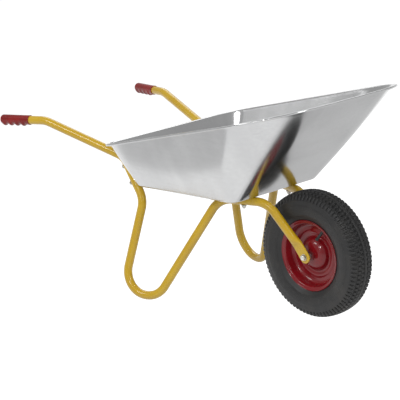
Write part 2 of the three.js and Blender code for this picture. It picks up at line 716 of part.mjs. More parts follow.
function wheel() {
  const group = new THREE.Group();
  // The wheel's own +Z points to the right side of the barrow and its +Y points up.
  group.rotation.x = Math.PI / 2;
  group.position.z = AXLE_Z;
  const up = new THREE.Vector3(0, 0, 1);
  Object.entries(SIDES).forEach(([name, side]) => {
    const outward = up.clone().multiplyScalar(-side);
    const half = piece(`${name}_rim_half`, side === SIDES.right
      ? rimHalf().subtract(valveDrill(VALVE_HOLE_R))
      : rimHalf(), 'rim');
    const end = outward.clone().multiplyScalar(HUB_HALF);
    group.add(aim(half, new THREE.Vector3(), outward));
    group.add(aim(piece(`${name}_hub_bush`, bush(), 'bush'), end, outward));
  });
  group.add(piece('hub_tube', hubTube(), 'rim'));
  group.add(piece('tyre', tyre(), 'tyre'));
  group.add(piece('inner_tube', innerTube(), 'rubber'));
  group.add(aim(piece('valve_stem', valveStem(), 'rubber'), VALVE_ROOT, VALVE_WAY));
  const capStart = VALVE_ROOT.clone().addScaledVector(VALVE_WAY, VALVE_LENGTH - VALVE_CAP + GAP);
  group.add(aim(piece('valve_cap', valveCap(), 'rubber'), capStart, VALVE_WAY));
  return group;
}

// ---- The barrow ----

const barrow = new THREE.Group();
barrow.position.x = AXLE_X;
barrow.add(piece('tray', tray(), 'tray'));
Object.entries(SIDES).forEach(([name, side]) => {
  barrow.add(piece(`${name}_frame_tube`, frameTube(side), 'frame'));
  barrow.add(placedGrip(name, side));
  barrow.add(...trayFixings(name, side));
  barrow.add(...axlePieces(name, side));
});
barrow.add(...axle());
barrow.add(wheel());

const wheelbarrow = new THREE.Group();
wheelbarrow.add(barrow);

export default wheelbarrow;
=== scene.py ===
import json
import math

import bpy
import numpy as np
from mathutils import Matrix, Vector


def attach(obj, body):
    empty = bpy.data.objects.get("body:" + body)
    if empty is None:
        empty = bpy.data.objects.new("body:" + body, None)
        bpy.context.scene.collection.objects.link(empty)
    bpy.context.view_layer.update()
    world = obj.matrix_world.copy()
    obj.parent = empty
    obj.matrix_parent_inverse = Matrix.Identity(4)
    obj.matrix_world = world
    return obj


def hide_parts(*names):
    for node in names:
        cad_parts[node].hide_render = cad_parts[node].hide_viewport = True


# The looks of a wheelbarrow. Every size below is in millimetres and every x is measured from the
# wheel's axle; build() turns both into metres in the model's own frame.

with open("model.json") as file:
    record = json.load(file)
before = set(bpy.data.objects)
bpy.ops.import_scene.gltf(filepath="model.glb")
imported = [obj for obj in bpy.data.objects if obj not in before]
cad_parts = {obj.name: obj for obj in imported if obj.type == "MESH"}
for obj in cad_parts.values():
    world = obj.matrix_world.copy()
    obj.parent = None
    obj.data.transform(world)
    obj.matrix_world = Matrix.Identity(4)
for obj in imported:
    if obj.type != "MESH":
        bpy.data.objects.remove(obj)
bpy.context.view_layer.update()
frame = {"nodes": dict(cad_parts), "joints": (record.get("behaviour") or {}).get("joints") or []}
MM = 0.001
AXLE = np.array(frame["joints"][0]["pos_m"])
SIDES = {"right": -1.0, "left": 1.0}
X = np.array([1.0, 0.0, 0.0])
Y = np.array([0.0, 1.0, 0.0])
Z = np.array([0.0, 0.0, 1.0])
GAP = 0.3  # between pieces that touch

# Tray
SHEET = 1.2
FLOOR = dict(rear_x=-570, front_x=-162, rear_half=214, front_half=197, rear_r=10, front_r=40)
FLOOR_Z = (353, 369)
RIM = dict(rear_x=-677, front_x=160, rear_half=304, front_half=358.7, rear_r=108, front_r=235)
RIM_Z = (486, 717.8)
FLANGE = 14
BEAD_R = 3.5
BEAD_START = 147  # degrees: where the rolled edge leaves the lip's underside
FLOOR_FILLET = 9.5
NECK = 5  # setback of the round between wall and lip
WALL_LEAN = 0.55 * SHEET
BULGE = 5  # how far the walls belly out at mid height

# Frame tubes
TUBE_R = 14
TUBE_SIDES = 48
BEND_STEP = math.radians(3)
HANDLE_END = np.array([-1121.0, 308.4, 507.6])
HANDLE_BEND = np.array([-948.0, 269, 522])
REAR_TOP_Z, REAR_LOW_Z, REAR_HALF = 437, 311, 202
BACK_FOOT = np.array([-589.0, 278, TUBE_R])
FRONT_FOOT = np.array([-459.0, 245.5, TUBE_R])
FLOOR_RUN_REAR = (-290, 127.6)
FLOOR_RUN_FRONT = (-131, 79)
FORK_HALF = 54
PRESSED_HALF = 3
PRESSED_WIDTH = 19
FORK_BEFORE, FORK_PAST, FORK_ROUND = 45, 20, 18
PRESS_ABOVE, PRESS_BELOW = 30, 15
FLAT_SHARPNESS = 0.35

# Tray bolts
REAR_BOLTS = {"rear_upper": 86, "rear_lower": 27}  # distances up the rear panel
FLOOR_BOLT_X = -209
BOLT_R, BOLT_HOLE_R, BOLT_TIP = 4.0, 4.6, 3.5
BOLT_HEAD_R, BOLT_NECK = 7.0, 0.9
DOME_R, DOME_H = 6.9, 4.4
NUT_R, NUT_H = 7.5, 6.5
WASHER_R, WASHER_H = 9, 1.6
THREAD_PLAY = 0.1  # between a thread and its nut
THREAD_START = 2.0  # how far inside the nut the thread starts

# Axle
AXLE_Z = AXLE[2] / MM
HUB_MIDDLE = np.array([0, 0, AXLE_Z])
AXLE_R, AXLE_HOLE_R, AXLE_TIP = 5.0, 5.3, 4
AXLE_HEAD_R, AXLE_HEAD_H, AXLE_NUT_H = 9.2, 6.4, 8.4
AXLE_WASHER_R, AXLE_WASHER_H = 10.5, 2
SPACER_R = 8.5
RUN_GAP = 0.6  # side play of the wheel

# Wheel
TYRE_R = 200
PITCHES = 84  # tread blocks round the tyre
TREAD_DEPTH = 4.4
SHOULDER = 62  # half the width of the tread, measured over its curve
RIM_SHEET = 2.0
HUB_R, HUB_BORE_R, HUB_HALF = 17, 13.4, 30
BUSH_R, BUSH_BORE_R, BUSH_DEPTH = 12.8, 5.5, 15
BUSH_FLANGE_R, BUSH_FLANGE = 14.5, 1.7
VALVE_ANGLE, VALVE_TILT = math.radians(63), math.radians(25)
VALVE_RADIUS, VALVE_OUT = 106, 11  # the stem's root, from the axle and from the middle plane
VALVE_LENGTH, VALVE_CAP = 50, 8
CAP_RIBS = 16


def unit(vector):
    return vector / np.linalg.norm(vector)


def floor_z(x):
    """Height of the tray floor's underside: a straight line from its rear to its front."""
    return np.interp(x, (FLOOR["rear_x"], FLOOR["front_x"]), FLOOR_Z)


def rim_z(x):
    """Height of the lip's top: a straight line from the rear of the rim to its front."""
    return np.interp(x, (RIM["rear_x"], RIM["front_x"]), RIM_Z)


def build(name, rings, body, node, slot, loop=False, sharp=38.0):
    """One closed piece over m rings of n points. Neighbouring rings are joined by quads; a loop
    joins its last ring to its first, and any other piece gets a fan of triangles at each end."""
    count, sides = rings.shape[:2]
    points = rings.reshape(-1, 3)
    joined = count if loop else count - 1
    ring, step = np.meshgrid(np.arange(joined), np.arange(sides), indexing="ij")
    here, after, beside = ring * sides, (ring + 1) % count * sides, (step + 1) % sides
    quads = np.stack([here + step, here + beside, after + beside, after + step], -1)
    quads = quads.reshape(-1, 4)
    fans = np.empty((0, 3), int)
    if not loop:
        edge, last = np.arange(sides), (count - 1) * sides
        beyond = (edge + 1) % sides
        start, end = np.full(sides, len(points)), np.full(sides, len(points) + 1)
        fans = np.vstack([np.stack([beyond, edge, start], -1),
                          np.stack([last + edge, last + beyond, end], -1)])
        points = np.vstack([points, rings[0].mean(0), rings[-1].mean(0)])
    halves = np.vstack([quads[:, [0, 1, 2]], quads[:, [0, 2, 3]], fans])
    a, b, c = (points[halves[:, k]] for k in range(3))
    if np.einsum("ij,ij->i", a, np.cross(b, c)).sum() < 0:
        quads, fans = quads[:, ::-1], fans[:, ::-1]
    mesh = bpy.data.meshes.new(name)
    mesh.from_pydata((points * MM + AXLE * (1, 0, 0)).tolist(), [], quads.tolist() + fans.tolist())
    mesh.shade_smooth()
    mesh.set_sharp_from_angle(angle=math.radians(sharp))
    piece = bpy.data.objects.new(name, mesh)
    bpy.context.scene.collection.objects.link(piece)
    mesh.materials.append(MATERIALS[slot])
    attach(piece, body)
    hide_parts(node)
    return piece


def turned(profile, start, way, steps):
    """Rings of a turned body: each (radius, height) pair of the profile swept once round the line
    through start along way."""
    way = unit(np.asarray(way, float))
    across = unit(np.cross(X if abs(way[0]) < 0.9 else Z, way))
    upright = np.cross(way, across)
    angle = np.linspace(0, 2 * np.pi, steps, endpoint=False)[:, None]
    circle = np.cos(angle) * across + np.sin(angle) * upright
    radius, height = np.asarray(profile, float).T[:, :, None, None]
    return start + radius * circle + height * way


def rounded(points, setback, steps=4, closed=False):
    """The line through the points with each corner replaced by a parabola that starts and ends the
    setback away from it, or at 45 per cent of the way to a neighbour that is nearer."""
    points = np.asarray(points, float)
    corner = points if closed else points[1:-1]
    before = np.roll(points, 1, 0) if closed else points[:-2]
    after = np.roll(points, -1, 0) if closed else points[2:]
    length = [np.linalg.norm(end - corner, axis=1, keepdims=True) for end in (before, after)]
    leave, meet = [(corner + (end - corner) * np.minimum(setback / span, 0.45))[:, None]
                   for end, span in zip((before, after), length)]
    t = np.linspace(0, 1, steps + 1)[:, None]
    curve = (1 - t) ** 2 * leave + 2 * t * (1 - t) * corner[:, None] + t ** 2 * meet
    curve = curve.reshape(-1, 2)
    return curve if closed else np.vstack([points[:1], curve, points[-1:]])


def step_up(value, low, high):
    """0 below low, 1 above high, and a smooth cubic between."""
    t = np.clip((value - low) / (high - low), 0, 1)
    return t * t * (3 - 2 * t)


# ---- Materials ----


class Nodes:
    """Adds nodes to a tree. An input given as a socket is joined; any other value is set on it."""

    def __init__(self, tree):
        self.tree = tree

    def add(self, kind, inputs=None, **settings):
        node = self.tree.nodes.new("ShaderNode" + kind)
        for key, value in settings.items():
            setattr(node, key, value)
        for key, value in (inputs or {}).items():
            if isinstance(value, bpy.types.NodeSocket):
                self.tree.links.new(value, node.inputs[key])
            else:
                node.inputs[key].default_value = value
        return node

    def noise(self, vector, scale, detail=3.0, roughness=0.5):
        return self.add("TexNoise", {"Vector": vector, "Scale": scale, "Detail": detail,
                                     "Roughness": roughness}).outputs[0]

    def math(self, operation, *values):
        return self.add("Math", dict(enumerate(values)), operation=operation).outputs[0]

    def span(self, value, low, high, to_low=0.0, to_high=1.0):
        """A value between low and high carried smoothly to the range between the other two."""
        return self.add("MapRange", {"Value": value, "From Min": low, "From Max": high,
                                     "To Min": to_low, "To Max": to_high},
                        interpolation_type="SMOOTHSTEP").outputs[0]

    def stretched(self, vector, scale):
        return self.add("Mapping", {"Vector": vector, "Scale": scale}).outputs[0]

    def mix(self, amount, first, second):
        return self.add("Mix", {0: amount, 6: first, 7: second}, data_type="RGBA").outputs[2]


def new_group(name, inputs, outputs):
    """An empty shader group with its sockets, each given as (name, kind, starting value)."""
    tree = bpy.data.node_groups.new(name, "ShaderNodeTree")
    for label, kind, value in inputs:
        socket = tree.interface.new_socket(label, in_out="INPUT", socket_type="NodeSocket" + kind)
        if value is not None:
            socket.default_value = value
    for label, kind in outputs:
        tree.interface.new_socket(label, in_out="OUTPUT", socket_type="NodeSocket" + kind)
    given, out = tree.nodes.new("NodeGroupInput"), tree.nodes.new("NodeGroupOutput")
    return tree, Nodes(tree), given, out


def uneven_group():
    """Slow drifts of tone and gloss: coarse noise for the colour, finer for the roughness."""
    tree, nodes, given, out = new_group(
        "uneven_finish",
        [("Vector", "Vector", None), ("Light", "Color", None), ("Dark", "Color", None),
         ("Smooth", "Float", 0.3), ("Rough", "Float", 0.5), ("Scale", "Float", 9.0)],
        [("Color", "Color"), ("Roughness", "Float")])
    coarse = nodes.noise(given.outputs["Vector"], given.outputs["Scale"], 4.0)
    fine_scale = nodes.math("MULTIPLY", given.outputs["Scale"], 5.0)
    finer = nodes.noise(given.outputs["Vector"], fine_scale, 5.0, 0.6)
    tone = nodes.span(coarse, 0.3, 0.7)
    color = nodes.mix(tone, given.outputs["Dark"], given.outputs["Light"])
    both = nodes.math("ADD", nodes.math("MULTIPLY", coarse, 0.4),
                      nodes.math("MULTIPLY", finer, 0.6))
    gloss = nodes.add("MapRange", {"Value": both, "From Min": 0.35, "From Max": 0.65,
                                   "To Min": given.outputs["Smooth"],
                                   "To Max": given.outputs["Rough"]}).outputs[0]
    nodes.tree.links.new(color, out.inputs["Color"])
    nodes.tree.links.new(gloss, out.inputs["Roughness"])
    return tree


def grain_group():
    """Height of a surface's fine texture: two octaves of noise, and sparse pits."""
    tree, nodes, given, out = new_group(
        "surface_grain",
        [("Vector", "Vector", None), ("Scale", "Float", 400.0), ("Pits", "Float", 0.0)],
        [("Height", "Float")])
    soft = nodes.noise(given.outputs["Vector"], given.outputs["Scale"], 2.0)
    cells = nodes.add("TexVoronoi", {"Vector": given.outputs["Vector"],
                                     "Scale": nodes.math("MULTIPLY", given.outputs["Scale"], 0.3)})
    pit = nodes.span(cells.outputs["Distance"], 0.05, 0.2, -1.0, 0.0)
    height = nodes.math("ADD", soft, nodes.math("MULTIPLY", pit, given.outputs["Pits"]))
    nodes.tree.links.new(height, out.inputs["Height"])
    return tree


def dust_group():
    """Where dust and dried splashes settle: broad patches broken by speckle, more towards the
    ground."""
    tree, nodes, given, out = new_group(
        "settled_dust",
        [("Vector", "Vector", None), ("Amount", "Float", 0.3), ("Top", "Float", 0.4)],
        [("Mask", "Float")])
    patch = nodes.span(nodes.noise(given.outputs["Vector"], 14.0, 5.0, 0.65), 0.45, 0.75)
    speck = nodes.span(nodes.noise(given.outputs["Vector"], 380.0, 3.0, 0.7), 0.5, 0.7)
    height = nodes.add("SeparateXYZ", {0: given.outputs["Vector"]}).outputs["Z"]
    low = nodes.add("MapRange", {"Value": height, "From Min": 0.0,
                                 "From Max": given.outputs["Top"],
                                 "To Min": 1.0, "To Max": 0.15}).outputs[0]
    both = nodes.math("ADD", nodes.math("MULTIPLY", patch, 0.7),
                      nodes.math("MULTIPLY", speck, 0.3))
    mask = nodes.math("MULTIPLY", nodes.math("MULTIPLY", both, low), given.outputs["Amount"])
    nodes.tree.links.new(mask, out.inputs["Mask"])
    return tree


def scratch_group():
    """Hair scratches in two slanting directions, as a mask: the thin peaks of stretched noise."""
    tree, nodes, given, out = new_group(
        "hair_scratches",
        [("Vector", "Vector", None), ("Scale", "Float", 60.0)],
        [("Mask", "Float")])
    lines = []
    for tilt in (0.5, -0.9):
        turned_way = nodes.add("Mapping", {"Vector": given.outputs["Vector"],
                                           "Rotation": (tilt, tilt * 0.7, tilt * 1.3),
                                           "Scale": (0.04, 1.0, 1.0)}).outputs[0]
        lines.append(nodes.span(nodes.noise(turned_way, given.outputs["Scale"], 2.0), 0.66, 0.72))
    nodes.tree.links.new(nodes.math("MAXIMUM", *lines), out.inputs["Mask"])
    return tree


GROUPS = {"uneven": uneven_group(), "grain": grain_group(), "dust": dust_group(),
          "scratches": scratch_group()}
DUST = (0.36, 0.31, 0.24, 1)
RING_PITCH = 0.0045  # metres between the fine rings on the tyre's side wall


def new_material(name):
    """A material with its Principled shader, its object coordinates and a node adder."""
    material = bpy.data.materials.new(name)
    material.use_nodes = True
    nodes = Nodes(material.node_tree)
    shader = material.node_tree.nodes["Principled BSDF"]
    place = nodes.add("TexCoord").outputs["Object"]
    return material, nodes, shader, place


def use(nodes, name, inputs):
    group = nodes.tree.nodes.new("ShaderNodeGroup")
    group.node_tree = GROUPS[name]
    for key, value in inputs.items():
        if isinstance(value, bpy.types.NodeSocket):
            nodes.tree.links.new(value, group.inputs[key])
        else:
            group.inputs[key].default_value = value
    return group.outputs


def bump(nodes, height, distance, strength=1.0, normal=None):
    inputs = {"Height": height, "Distance": distance, "Strength": strength}
    if normal is not None:
        inputs["Normal"] = normal
    return nodes.add("Bump", inputs).outputs["Normal"]


def finish(name, light, dark, smooth, rough, scale=9.0, metallic=0.0, coat=0.0, coat_rough=0.1,
           grain=(400.0, 0.0, 0.00005), dust=0.0, dust_top=0.4, scratches=0.0, specular=0.5):
    """A material from the shared effects: an uneven tone and gloss, a fine grain of (scale, pits,
    depth in metres), hair scratches that roughen it and dust that lies over it."""
    material, nodes, shader, place = new_material(name)
    uneven = use(nodes, "uneven", {"Vector": place, "Light": (*light, 1), "Dark": (*dark, 1),
                                   "Smooth": smooth, "Rough": rough, "Scale": scale})
    color, gloss = uneven["Color"], uneven["Roughness"]
    if scratches:
        mark = use(nodes, "scratches", {"Vector": place})["Mask"]
        gloss = nodes.math("ADD", gloss, nodes.math("MULTIPLY", mark, scratches))
    if dust:
        mask = use(nodes, "dust", {"Vector": place, "Amount": dust, "Top": dust_top})["Mask"]
        color = nodes.mix(mask, color, DUST)
        gloss = nodes.math("ADD", gloss, nodes.math("MULTIPLY", mask, 0.4))
        if coat:
            clean = nodes.math("MULTIPLY", nodes.math("SUBTRACT", 1.0, mask), coat)
            nodes.tree.links.new(clean, shader.inputs["Coat Weight"])
    elif coat:
        shader.inputs["Coat Weight"].default_value = coat
    height = use(nodes, "grain", {"Vector": place, "Scale": grain[0], "Pits": grain[1]})["Height"]
    nodes.tree.links.new(color, shader.inputs["Base Color"])
    nodes.tree.links.new(gloss, shader.inputs["Roughness"])
    nodes.tree.links.new(bump(nodes, height, grain[2]), shader.inputs["Normal"])
    shader.inputs["Metallic"].default_value = metallic
    shader.inputs["Coat Roughness"].default_value = coat_rough
    shader.inputs["Specular IOR Level"].default_value = specular
    return material


def tray_sheet():
    """Zinc-coated sheet: faint crystal spangle a few millimetres across, streaks left by the rolls
    along the sheet, broad bands of painted reflection that lighten and darken its colour, and a
    slow waviness from pressing."""
    material, nodes, shader, place = new_material("tray_sheet")
    cells = nodes.add("TexVoronoi", {"Vector": place, "Scale": 110.0}).outputs["Color"]
    crystal = nodes.add("SeparateColor", {"Color": cells}).outputs[0]
    streak = nodes.noise(nodes.stretched(place, (2.0, 120.0, 120.0)), 1.0, 4.0, 0.6)
    # Painted reflection: broad bands of lighter and darker colour, most of the tone below,
    # standing in for the sheet's changing reflections.
    band = nodes.noise(nodes.stretched(place, (9.0, 2.0, 2.0)), 1.0, 2.0)
    tone = nodes.math("ADD", nodes.math("MULTIPLY", crystal, 0.05),
                      nodes.math("MULTIPLY", streak, 0.20))
    tone = nodes.math("ADD", tone, nodes.math("MULTIPLY", band, 0.75))
    color = nodes.mix(nodes.span(tone, 0.3, 0.7), (0.49, 0.493, 0.498, 1),
                      (0.56, 0.564, 0.568, 1))
    mask = use(nodes, "dust", {"Vector": place, "Amount": 0.05, "Top": 0.9})["Mask"]
    color = nodes.mix(mask, color, DUST)
    scratched = use(nodes, "scratches", {"Vector": place, "Scale": 90.0})["Mask"]
    gloss = nodes.add("MapRange", {"Value": tone, "From Min": 0.3, "From Max": 0.7,
                                   "To Min": 0.20, "To Max": 0.15}).outputs[0]
    gloss = nodes.math("ADD", gloss, nodes.math("MULTIPLY", scratched, 0.03))
    wave = nodes.noise(place, 5.0, 1.0)
    fine = nodes.math("ADD", nodes.math("MULTIPLY", streak, 0.8),
                      nodes.math("MULTIPLY", crystal, 0.2))
    normal = bump(nodes, wave, 0.0008)
    normal = bump(nodes, fine, 0.000002, normal=normal)
    nodes.tree.links.new(color, shader.inputs["Base Color"])
    nodes.tree.links.new(gloss, shader.inputs["Roughness"])
    nodes.tree.links.new(normal, shader.inputs["Normal"])
    shader.inputs["Metallic"].default_value = 1.0
    return material


def tyre_rubber():
    """Moulded rubber: fine rings round the side wall, a few millimetres apart, under a fine grain,
    with dust in broad patches."""
    material, nodes, shader, place = new_material("tyre_rubber")
    split = nodes.add("SeparateXYZ", {0: place}).outputs
    run = nodes.math("SUBTRACT", split["X"], float(AXLE[0]))
    rise = nodes.math("SUBTRACT", split["Z"], float(AXLE[2]))
    radius = nodes.math("SQRT", nodes.math("ADD", nodes.math("MULTIPLY", run, run),
                                           nodes.math("MULTIPLY", rise, rise)))
    ripple = nodes.math("SINE", nodes.math("MULTIPLY", radius, 2 * math.pi / RING_PITCH))
    wall = nodes.math("MULTIPLY", nodes.span(radius, 0.122, 0.126),
                      nodes.span(radius, 0.166, 0.160))
    rings = nodes.math("MULTIPLY", nodes.span(ripple, 0.55, 0.95), wall)
    uneven = use(nodes, "uneven", {"Vector": place, "Smooth": 0.40, "Rough": 0.55,
                                   "Light": (0.0130, 0.0130, 0.0135, 1),
                                   "Dark": (0.0080, 0.0080, 0.0085, 1)})
    mask = use(nodes, "dust", {"Vector": place, "Amount": 0.08, "Top": 0.5})["Mask"]
    color = nodes.mix(mask, uneven["Color"], DUST)
    grain = use(nodes, "grain", {"Vector": place, "Scale": 700.0, "Pits": 0.4})["Height"]
    normal = bump(nodes, rings, 0.0005)
    normal = bump(nodes, grain, 0.00009, normal=normal)
    nodes.tree.links.new(color, shader.inputs["Base Color"])
    nodes.tree.links.new(uneven["Roughness"], shader.inputs["Roughness"])
    nodes.tree.links.new(normal, shader.inputs["Normal"])
    shader.inputs["Specular IOR Level"].default_value = 0.45
    return material


MATERIALS = {
    "tray_sheet": tray_sheet(),
    "frame_paint": finish("frame_paint", (0.63, 0.405, 0.012), (0.57, 0.350, 0.009), 0.22, 0.32,
                          coat=0.4, coat_rough=0.07, grain=(520.0, 0.15, 0.00006), dust=0.03,
                          scratches=0.12, specular=0.35),
    "grip_plastic": finish("grip_plastic", (0.27, 0.010, 0.008), (0.20, 0.007, 0.006), 0.18, 0.30,
                           scale=22.0, grain=(900.0, 0.2, 0.00003), dust=0.02, dust_top=0.6,
                           scratches=0.15, specular=0.35),
    "fixing_zinc": finish("fixing_zinc", (0.66, 0.65, 0.61), (0.50, 0.49, 0.45), 0.26, 0.42,
                          scale=60.0, metallic=1.0, grain=(1500.0, 0.3, 0.00003), dust=0.08,
                          scratches=0.1),
    "hub_steel": finish("hub_steel", (0.50, 0.50, 0.48), (0.36, 0.35, 0.33), 0.36, 0.52,
                        scale=45.0, metallic=1.0, grain=(1200.0, 0.4, 0.00004), dust=0.2,
                        scratches=0.1),
    "rim_paint": finish("rim_paint", (0.235, 0.006, 0.011), (0.19, 0.004, 0.008), 0.16, 0.25,
                        coat=0.25, coat_rough=0.05, grain=(420.0, 0.1, 0.00004), dust=0.02,
                        scratches=0.08, specular=0.3),
    "tyre_rubber": tyre_rubber(),
    "valve_rubber": finish("valve_rubber", (0.016, 0.016, 0.016), (0.010, 0.010, 0.010), 0.40, 0.6,
                           scale=40.0, grain=(1500.0, 0.3, 0.00004), dust=0.1),
    "bush_plastic": finish("bush_plastic", (0.17, 0.008, 0.012), (0.12, 0.006, 0.009), 0.45, 0.6,
                           scale=40.0, grain=(1500.0, 0.3, 0.00004), dust=0.1),
}


# ---- Tray ----


def outline(shape, corner_steps=28, side_steps=24):
    """Plan outline of the floor or the rim: four corner arcs joined by straight sides. Gives each
    point's place and its outward direction; two outlines have their points in the same order."""
    half_difference = shape["front_half"] - shape["rear_half"]
    flare = math.atan2(half_difference, shape["front_x"] - shape["rear_x"])
    rear_r, front_r = shape["rear_r"], shape["front_r"]
    rear_y = shape["rear_half"] - rear_r * (1 - math.sin(flare)) / math.cos(flare)
    front_y = shape["front_half"] - front_r * (1 + math.sin(flare)) / math.cos(flare)
    rear_x, front_x = shape["rear_x"] + rear_r, shape["front_x"] - front_r
    sideways = math.pi / 2 + flare
    corners = [(rear_x, -rear_y, rear_r, math.pi, 2 * math.pi - sideways),
               (front_x, -front_y, front_r, 2 * math.pi - sideways, 2 * math.pi),
               (front_x, front_y, front_r, 0, sideways),
               (rear_x, rear_y, rear_r, sideways, math.pi)]
    arcs, outs = [], []
    for x, y, r, start, end in corners:
        angle = np.linspace(start, end, corner_steps + 1)
        out = np.stack([np.cos(angle), np.sin(angle)], -1)
        arcs.append(np.array([x, y]) + r * out)
        outs.append(out)
    places, ways = [], []
    share = np.linspace(0, 1, side_steps, endpoint=False)[1:, None]
    for index in range(4):
        leave, meet = arcs[index][-1], arcs[(index + 1) % 4][0]
        places += [arcs[index], leave + (meet - leave) * share]
        ways += [outs[index], np.repeat(outs[index][-1:], side_steps - 1, 0)]
    return np.vstack(places), np.vstack(ways)


def tray():
    """The pressed tray as one skin of sections: out along the underside of the floor, up the
    outside of the wall, round the rolled lip and down the inside. Each row of points round the
    tray is an offset of the floor's or the rim's outline; the rows of a round are a parabola
    between three; and the wall bellies out by a half wave of a sine."""
    feet, feet_out = outline(FLOOR)
    lips, lips_out = outline(RIM)

    def row(plan, out, offset, height, drop):
        spot = plan + out * offset
        return np.column_stack([spot, height(spot[:, 0]) + drop])

    def parabola(start, corner, end, steps):
        t = np.linspace(0, 1, steps + 1)[:, None, None]
        return (1 - t) ** 2 * start + 2 * t * (1 - t) * corner + t ** 2 * end

    def towards(start, end, setback):
        way = end - start
        return start + way * (setback / np.linalg.norm(way, axis=1, keepdims=True))

    belly = BULGE * (1 + feet_out[:, :1]) / 2

    def side(lean, lift):
        """Rows of one face of the wall, from the floor to the lip."""
        foot = row(feet, feet_out, -lean, floor_z, lift)
        on_floor = row(feet, feet_out, -FLOOR_FILLET, floor_z, lift)
        top = row(lips, lips_out, -FLANGE - lean, rim_z, lift - SHEET)
        on_lip = row(lips, lips_out, -FLANGE - lean + NECK, rim_z, lift - SHEET)
        low, high = towards(foot, top, FLOOR_FILLET), towards(top, foot, NECK)
        share = np.linspace(0, 1, 26)[1:-1, None, None]
        out = np.column_stack([lips_out, -0.35 * np.ones(len(lips))])
        wall = low + (high - low) * share + out * belly * np.sin(np.pi * share)
        return np.concatenate([parabola(on_floor, foot, low, 8), wall,
                               parabola(high, top, on_lip, 5)])

    outside, inside = side(0.0, 0.0), side(WALL_LEAN, SHEET)[::-1]
    angles = np.radians(np.linspace(BEAD_START - 360, 90, 20))[1:-1]
    bead = np.stack([row(lips, lips_out, -BEAD_R + BEAD_R * math.cos(angle), rim_z,
                         -BEAD_R + BEAD_R * math.sin(angle)) for angle in angles])
    under_lip = -BEAD_R + BEAD_R * math.cos(math.radians(BEAD_START))
    edge = [row(lips, lips_out, under_lip, rim_z, -SHEET)]
    brim = [row(lips, lips_out, -BEAD_R, rim_z, 0.0)]
    middle = np.array([(FLOOR["rear_x"] + FLOOR["front_x"]) / 2, 0])
    inner_rows = []
    for lift, source in ((0.0, outside[0]), (SHEET, inside[-1])):
        centre = np.array([*middle, floor_z(middle[0]) + lift])
        inner_rows.append([centre + (source - centre) * share for share in (0.02, 0.5, 0.9)])
    rows = [*inner_rows[0], *outside, *edge, *bead, *brim, *inside, *inner_rows[1][::-1]]
    return np.stack(rows)


panel_foot = np.array([FLOOR["rear_x"], 0.0, FLOOR_Z[0]])
panel_top_x = RIM["rear_x"] + FLANGE
panel_up = unit(np.array([panel_top_x, 0.0, rim_z(panel_top_x) - SHEET]) - panel_foot)
panel_out = np.array([-panel_up[2], 0.0, panel_up[0]])
floor_along = unit(np.array([FLOOR["front_x"] - FLOOR["rear_x"], 0.0, FLOOR_Z[1] - FLOOR_Z[0]]))
floor_down = np.array([floor_along[2], 0.0, -floor_along[0]])


# ---- Frame ----


def behind_panel(height, half):
    """Middle of a tube that lies against the rear panel, at a height."""
    off = TUBE_R + GAP
    rise = (height - panel_foot[2] - panel_out[2] * off) / panel_up[2]
    spot = panel_foot + panel_up * rise + panel_out * off
    return spot + Y * half


def under_floor(place):
    """Middle of a tube that lies against the underside of the floor."""
    x, half = place
    return np.array([x, half, floor_z(x) + (TUBE_R + GAP) / floor_down[2]])


axle_hole = np.array([0.0, FORK_HALF, AXLE_Z])
fork_top = under_floor(FLOOR_RUN_FRONT)
fork_down = unit((axle_hole - fork_top) * (1, 0, 1))


def above_axle(distance):
    return axle_hole - fork_down * distance


fork_knee = above_axle(FORK_BEFORE)
press_start = fork_knee + unit(fork_top - fork_knee) * PRESS_ABOVE
ROUTE = [
    (HANDLE_END, 0), (HANDLE_BEND, 100), (behind_panel(REAR_TOP_Z, REAR_HALF), 60),
    (behind_panel(REAR_LOW_Z, REAR_HALF), 80), (BACK_FOOT, 74), (FRONT_FOOT, 74),
    (under_floor(FLOOR_RUN_REAR), 80), (fork_top, 80), (press_start, 0),
    *[(press_start + (fork_knee - press_start) * share, 0) for share in (0.2, 0.4, 0.6)],
    (fork_knee, 25),
    *[(above_axle(FORK_BEFORE - PRESS_BELOW * share), 0) for share in (0.8, 1.0)],
    (above_axle(FORK_ROUND - FORK_PAST), 0),
]


def stations():
    """The tube's middle line and its direction there: straight between corners, and round each
    corner an arc of the given radius that touches both straights."""
    places, ways = [], []
    for index, (corner, radius) in enumerate(ROUTE):
        ahead = ROUTE[index + 1][0] if index + 1 < len(ROUTE) else above_axle(-FORK_PAST)
        way = unit(ahead - corner)
        if not radius:
            places.append(corner[None])
            ways.append(way[None])
            continue
        came = unit(corner - ROUTE[index - 1][0])
        turn = math.acos(np.clip(came @ way, -1, 1))
        inward = unit(way - came * (way @ came))
        angle = np.linspace(0, turn, max(3, math.ceil(turn / BEND_STEP)) + 1)[:, None]
        start = corner - came * radius * math.tan(turn / 2)
        rise = inward * radius * (1 - np.cos(angle))
        places.append(start + came * radius * np.sin(angle) + rise)
        ways.append(came * np.cos(angle) + inward * np.sin(angle))
    return np.vstack(places), np.vstack(ways)


